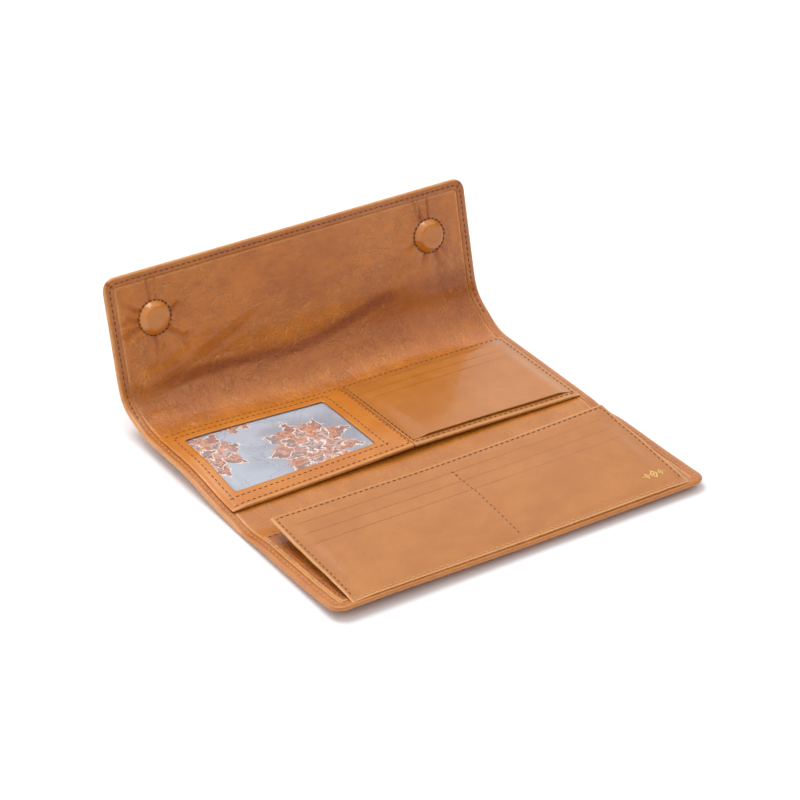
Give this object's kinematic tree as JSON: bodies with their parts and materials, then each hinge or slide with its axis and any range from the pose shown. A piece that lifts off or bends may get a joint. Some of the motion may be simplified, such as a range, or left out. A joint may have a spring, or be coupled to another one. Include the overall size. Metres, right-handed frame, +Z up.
{
  "type": "long wallet",
  "caption": "Long folded leather wallet lying open, with a raised button flap, a windowed middle page and a hinged card page over the front section.",
  "frame": {"origin": "on the table, under the middle of the base section", "axes": "+X along the wallet's length to the right, +Y from the front edge to the flap, +Z up"},
  "size_m": [0.2032, 0.2034, 0.0726],
  "materials": {
    "outer_leather": "glazed, lightly creased",
    "inner_leather": "glazed, crackled",
    "page_leather": "smooth glazed",
    "stiffening_board": "raw",
    "printed_lining": "satin print",
    "clear_vinyl": "clear gloss",
    "snap_steel": "nickel plated",
    "magnet_plating": "plated"
  },
  "bodies": {
    "base": {"base_cover": "outer_leather", "base_board": "stiffening_board", "base_lining": "inner_leather"},
    "fold_strip": {"strip_cover": "outer_leather", "strip_lining": "inner_leather"},
    "front_panel": {"front_cover": "outer_leather", "front_board": "stiffening_board", "front_lining": "inner_leather", "slip_pocket": "inner_leather", "receiver_left": "snap_steel", "receiver_right": "snap_steel"},
    "front_page": {"front_page_back": "page_leather", "front_pocket_back": "page_leather", "front_pocket_middle": "page_leather", "front_pocket_front": "page_leather"},
    "middle_page": {"middle_page_back": "page_leather", "middle_pocket_back": "page_leather", "middle_pocket_middle": "page_leather", "middle_pocket_front": "page_leather", "printed_lining": "printed_lining", "window_sheet": "clear_vinyl", "window_frame": "page_leather"},
    "spine": {"spine_cover": "outer_leather", "spine_lining": "inner_leather"},
    "flap": {"flap_cover": "outer_leather", "flap_board": "stiffening_board", "flap_lining": "inner_leather", "button_cap_left": "outer_leather", "button_cap_right": "outer_leather", "button_magnet_left": "magnet_plating", "button_magnet_right": "magnet_plating", "button_plate_left": "snap_steel", "button_plate_right": "snap_steel"}
  },
  "joints": [
    {"name": "strip_crease", "type": "hinge", "parent": "base", "child": "fold_strip", "pos_m": [0, -0.0395, 0.004], "axis": [-1, 0, 0], "range_deg": [0, 90]},
    {"name": "front_crease", "type": "hinge", "parent": "fold_strip", "child": "front_panel", "pos_m": [0, -0.0535, 0.004], "axis": [-1, 0, 0], "range_deg": [0, 90]},
    {"name": "front_page_seam", "type": "hinge", "parent": "front_panel", "child": "front_page", "pos_m": [0, -0.1205, 0.0043], "axis": [-1, 0, 0], "range_deg": [-105, 5.6]},
    {"name": "middle_page_gape", "type": "hinge", "parent": "base", "child": "middle_page", "pos_m": [0, 0.032, 0.0043], "axis": [1, 0, 0], "range_deg": [-10, 2.9]},
    {"name": "spine_crease", "type": "hinge", "parent": "base", "child": "spine", "pos_m": [0, 0.0395, 0.004], "axis": [1, 0, 0], "range_deg": [-30, 60]},
    {"name": "flap_crease", "type": "hinge", "parent": "spine", "child": "flap", "pos_m": [0, 0.05725, 0.01425], "axis": [1, 0, 0], "range_deg": [-43, 47]}
  ]
}
